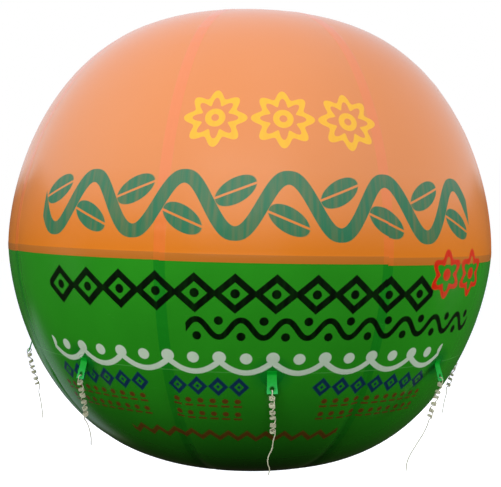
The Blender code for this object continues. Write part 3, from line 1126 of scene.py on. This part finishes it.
def orange_film():
    """Glossy orange film with coral weld strips, a darker lap at its lower edge, and a pale veil of
    dust and painted sheen up the film.
    """
    shader = Finish("orange_film", Roughness=0.25, IOR=1.5, Coat_Roughness=0.12)
    run, seam = shader.fact("run"), shader.fact("seam")
    cloud = shader.noise(2.2, 4.0)
    film = shader.mix((cloud - 0.3) * 1.1, ORANGE, ORANGE_SUNNED)
    lap = (run - LAP_HEIGHT).inside(0.003)
    film = shader.mix(lap, film, LAP_ORANGE)
    strip = (seam - SEAM_HALF).inside(0.003)
    film = shader.mix(strip * (0.60 - lap * 0.30), film, CORAL)
    streaks = shader.noise(1.0, 3.0, shader.vector(shader.fact("turn") * 1.1, run * 2.5))
    streaks = ((streaks - 0.42) * 3.0).clamped()
    rows = ((rosettes(shader), YELLOW, 1.0), (vine(shader), BRUSHED_GREEN, 1.0),
            (edge_rosettes(shader), RED, 1.0))
    film, paint = painted(shader, film, rows, streaks)
    # Dust and painted sheen: a pale veil, stronger up the film and thinner over the paint, stands
    # for settled dust and for the sky's reflection on the upper film.
    dust_and_sheen_patches = shader.noise(1.6, 3.0) * 0.4 + 0.8
    dust_and_sheen = (run * 0.20).clamped().least(0.095) * dust_and_sheen_patches * (1.0 - paint * 0.65)
    film = shader.mix(dust_and_sheen, film, DUST_AND_SHEEN)
    rough = 0.20 + shader.noise(3.0, 3.0) * 0.06 + paint * 0.16
    weld = (abs(seam - SEAM_HALF) - 0.0015).inside(0.002)
    peel = shader.noise(55.0, 2.0)
    normal = shader.bump(peel * 0.5 + weld + paint * 0.4, 0.0005, 0.5)
    return shader.give(Base_Color=film, Roughness=rough, Normal=normal)


def green_film():
    """Glossy green film with dark weld strips, fine scratches, a weld line at the tabs, and painted
    shade below it.
    """
    shader = Finish("green_film", Roughness=0.25, IOR=1.5)
    run, seam = shader.fact("run"), shader.fact("seam")
    cloud = shader.noise(2.6, 4.0)
    film = shader.mix((cloud - 0.3) * 1.2, GREEN, GREEN_DEEP)
    strip = (seam - SEAM_HALF).inside(0.003)
    film = shader.mix(strip * 0.7, film, STRIP_GREEN)
    near = (1.0 - (shader.fact("patch") - 0.062) / 0.065).clamped()
    film = shader.mix(near * 0.8, film, TEAL)
    crease = (abs(run - (TAB_RUN + 0.006)) - 0.0022).inside(0.002)
    film = shader.mix(crease * 0.65, film, (0.10, 0.42, 0.08))
    # Painted shade: the green is darkened in a band below the tab line, and more strongly towards
    # the bottom, where the underside turns from the light.
    low = ((TAB_RUN + 0.006 - run) * 40.0).clamped() - ((TAB_RUN - 0.30 - run) * 3.0).clamped()
    film = shader.mix(low * 0.35, film, GREEN_DEEP)
    low = ((TAB_RUN - 0.12 - run) * 1.6).clamped()
    film = shader.mix(low * 0.70, film, (0.010, 0.085, 0.004))
    fine = shader.noise(1.0, 2.0, shader.vector(shader.fact("turn") * 0.25, run * 240.0))
    patchy = shader.noise(4.0, 2.0)
    scratch = ((fine - 0.70) * 14.0).clamped() * ((patchy - 0.52) * 6.0).clamped()
    film = shader.mix(scratch * 0.30, film, (0.16, 0.45, 0.12))
    streaks = shader.noise(1.0, 3.0, shader.vector(shader.fact("turn") * 1.1, run * 2.5))
    streaks = ((streaks - 0.42) * 3.0).clamped()
    rows = ((lozenges(shader), BLACK, 1.0), (edge_rosettes(shader), RED, 1.0),
            (waves(shader), BLACK, 1.0), (garland(shader), WHITE, 1.0),
            (diamonds(shader), NAVY, 0.96), (red_dots(shader), BROWN_RED, 0.90),
            (chevrons(shader), BROWN_RED, 0.85))
    film, paint = painted(shader, film, rows, streaks * 0.4)
    rough = 0.18 + shader.noise(3.0, 3.0) * 0.06 + paint * 0.08 + scratch * 0.1
    weld = (abs(seam - SEAM_HALF) - 0.0015).inside(0.002)
    peel = shader.noise(55.0, 2.0)
    height = peel * 0.5 + weld + paint * 0.4 + crease + scratch * 0.3
    normal = shader.bump(height, 0.0005, 0.5)
    return shader.give(Base_Color=film, Roughness=rough, Normal=normal)


def plain_film(name, tint, deep, ring=None, row=None):
    """Film of one colour, cloudy and fine-grained, with a pressed weld ring if it has one
    and the off-white row where that runs over it."""
    shader = Finish(name, IOR=1.5)
    film = shader.mix((shader.noise(9.0, 4.0) - 0.3) * 1.3, tint, deep)
    if row:
        film = shader.mix(row(shader), film, WHITE)
    height = shader.noise(160.0, 3.0) * 0.5
    if ring:
        away = shader.fact("away")
        pressed = (abs(away - ring) - 0.003).inside(0.002)
        film = shader.mix(pressed * 0.25, film, deep)
        grid = (away * 1900.0).sin() * pressed
        height = height + grid * 0.4
    rough = 0.27 + shader.noise(30.0, 5.0) * 0.16
    return shader.give(Base_Color=film, Roughness=rough, Normal=shader.bump(height, 0.0004, 0.6))


def tab_film():
    """Bright green reinforced film: a woven ground, a dark eyelet rim and worn patches."""
    shader = Finish("tab_film", IOR=1.32)
    away, down = shader.fact("away"), shader.fact("down")
    paler = (down / TAB_LENGTH).clamped() ** 2.0
    film = shader.mix(paler, TAB_GREEN, TAB_GREEN_PALE)
    film = shader.mix((shader.noise(70.0, 4.0) - 0.4) * 0.8, film, TAB_GREEN_WORN)
    ring = (abs(away - 0.0137) - 0.0034).inside(0.0006)
    film = shader.mix(ring * 0.5, film, TAB_GREEN_WORN)
    soil = (1.0 - (away - EYELET_RADIUS) / 0.006).clamped() * shader.noise(240.0, 4.0)
    film = shader.mix(soil * 0.8, film, SOIL)
    threads = (shader.part(shader.place(), "Z") * 2600.0).sin() * 0.5
    height = threads + shader.noise(260.0, 3.0)
    rough = 0.34 + shader.noise(60.0, 4.0) * 0.2
    return shader.give(Base_Color=film, Roughness=rough, Normal=shader.bump(height, 0.0003, 0.5))


def rope_fibre():
    """Cream laid rope: three strands of fine fibre, with painted shade in the lay, and grubby in
    places.
    """
    shader = Finish("rope", Roughness=0.85)
    lay, run = shader.fact("lay"), shader.fact("run")
    grub = shader.noise(28.0, 4.0)
    fibre = shader.mix((grub - 0.35) * 1.6, (0.74, 0.74, 0.52), (0.46, 0.43, 0.28))
    # Painted shade: the grooves between the strands are darkened in the colour.
    fibre = shader.mix((1.0 - lay) ** 2.0 * 0.7, fibre, (0.13, 0.11, 0.07))
    hairs = shader.noise(1.0, 3.0, shader.vector(lay * 14.0, run * 260.0))
    fibre = shader.mix(((hairs - 0.62) * 5.0).clamped() * 0.5, fibre, (0.78, 0.75, 0.62))
    rough = 0.80 + hairs * 0.15
    return shader.give(Base_Color=fibre, Roughness=rough, Normal=shader.bump(hairs, 0.0004, 0.6))


def moulded_plastic(name, tint):
    """Black moulded plastic with a fine grain and pale scuffs."""
    shader = Finish(name, IOR=1.46)
    scuff = ((shader.noise(60.0, 6.0, rough=0.7) - 0.60) * 7.0).clamped()
    plastic = shader.mix(scuff * 0.35, tint, (0.16, 0.16, 0.16))
    rough = 0.36 + shader.noise(40.0, 4.0) * 0.18 + scuff * 0.1
    grain = shader.noise(900.0, 2.0)
    return shader.give(Base_Color=plastic, Roughness=rough, Normal=shader.bump(grain, 0.0001, 0.5))


def sky_and_land():
    """A bright pale sky over darker land, as the film mirrors them. The camera sees white."""
    world = bpy.data.worlds.new("sky_and_land")
    bpy.context.scene.world = world
    shader = Tree(world)
    way = shader.add("TexCoord", output="Generated")
    x, y, z = (shader.part(way, axis) for axis in "XYZ")
    level = shader.vector(x, y, 0.0)
    ragged = shader.noise(3.0, 4.0, level)
    skyline = 0.19 + ragged * 0.06 - ((y - 0.70) * 4.0).clamped() * 0.16
    skyline = skyline - (x * 0.5).clamped() * 0.12
    sky = ((z - skyline) / 0.05 + 0.5).clamped()
    high = (z * 1.2).clamped()
    above = shader.mix(high, (0.80, 0.92, 1.0), (0.86, 0.85, 1.0))
    low = (-z * 1.6).clamped()
    below = shader.mix(low, (0.70, 0.78, 0.70), (1.0, 0.75, 0.50))
    pale_ground = ((x * -0.36 + y * 0.90 - z * 0.25 - 0.92) * 25.0).clamped()
    pale_ground = pale_ground * ((-z - 0.23) * 25.0).clamped() * ((-x - 0.20) * 14.0).clamped()
    below = shader.mix(pale_ground, below, (0.80, 0.97, 1.0))
    land_light = (0.07 - low * 0.06) + pale_ground * 0.33
    sky_light = (1.0 + high * (0.06 + y * 0.20)) * (1.0 - (x + 0.15).most(0.0) * 0.20)
    strength = land_light + sky * (sky_light - land_light)
    tint = shader.mix(sky, below, above)
    seen = shader.add("LightPath", output="Is Camera Ray")
    strength = strength + seen * (1.0 - strength)
    tint = shader.mix(seen, tint, (1.0, 1.0, 1.0))
    background = shader.nodes["Background"]
    join(shader.tree, background.inputs["Color"], tint)
    join(shader.tree, background.inputs["Strength"], strength)


def floor_and_light():
    """A plain pale floor and five soft lights."""
    bm = bmesh.new()
    bmesh.ops.create_circle(bm, cap_ends=True, segments=96, radius=40)
    mesh = bpy.data.meshes.new("floor")
    bm.to_mesh(mesh)
    bm.free()
    floor = bpy.data.objects.new("floor", mesh)
    bpy.context.scene.collection.objects.link(floor)
    floor.location.z = FLOOR
    shader = Finish("floor", Roughness=0.9, Emission_Strength=0.25)
    pale = shader.mix(shader.noise(0.8, 3.0), (0.92, 0.92, 0.91), (0.95, 0.95, 0.95))
    mesh.materials.append(shader.give(Base_Color=pale, Emission_Color=pale))
    floor.visible_diffuse = False
    floor.visible_glossy = False
    soft_light("soft_front_light", (-1.6, -8.0, 2.9), 6.0, 450)
    soft_light("soft_right_light", (7.0, 0.3, -1.2), 2.0, 280)
    soft_light("soft_left_light", (-7.0, -0.3, -1.0), 2.4, 110)
    soft_light("soft_back_light", (1.0, 8.0, 1.6), 6.0, 240)
    soft_light("soft_low_light", (0.0, 2.6, -1.95), 0.6, 75)
    bpy.context.scene.view_settings.view_transform = "Standard"


def soft_light(name, place, size, energy):
    """A large square light that faces the balloon and isn't mirrored in it."""
    lamp = bpy.data.lights.new(name, "AREA")
    lamp.size = size
    lamp.energy = energy
    light = bpy.data.objects.new(name, lamp)
    bpy.context.scene.collection.objects.link(light)
    light.location = place
    light.rotation_mode = "QUATERNION"
    light.rotation_quaternion = (-light.location).to_track_quat("-Z", "Y")
    light.visible_glossy = False


photograph_camera()
fibre = rope_fibre()
for index, direction in enumerate(DIRECTIONS):
    tether_rope(index, direction, fibre)

orange, green = orange_film(), green_film()
for index, direction in enumerate(DIRECTIONS):
    film_gore(index, direction, 1, orange)
    film_gore(index, direction, -1, green)
crown_patch("crown_patch_film", 1, plain_film("crown_patch", CROWN_ORANGE, CROWN_DEEP, 0.136),
            ("pole_patch_top",))
crown_patch("foot_patch_film", -1, plain_film("foot_patch", GREEN_DEEP, STRIP_GREEN, 0.136),
            ("pole_patch_bottom",))
patch = plain_film("weld_patch", PATCH_GREEN, TEAL, 0.048, garland)
strap = tab_film()
for index, direction in enumerate(DIRECTIONS):
    weld_patch(index, direction, patch)
    tether_tab(index, direction, strap)
filling_valve({"valve": moulded_plastic("valve_plastic", (0.020, 0.020, 0.022)),
               "cap": moulded_plastic("valve_cap", (0.030, 0.030, 0.033))})

sky_and_land()
floor_and_light()
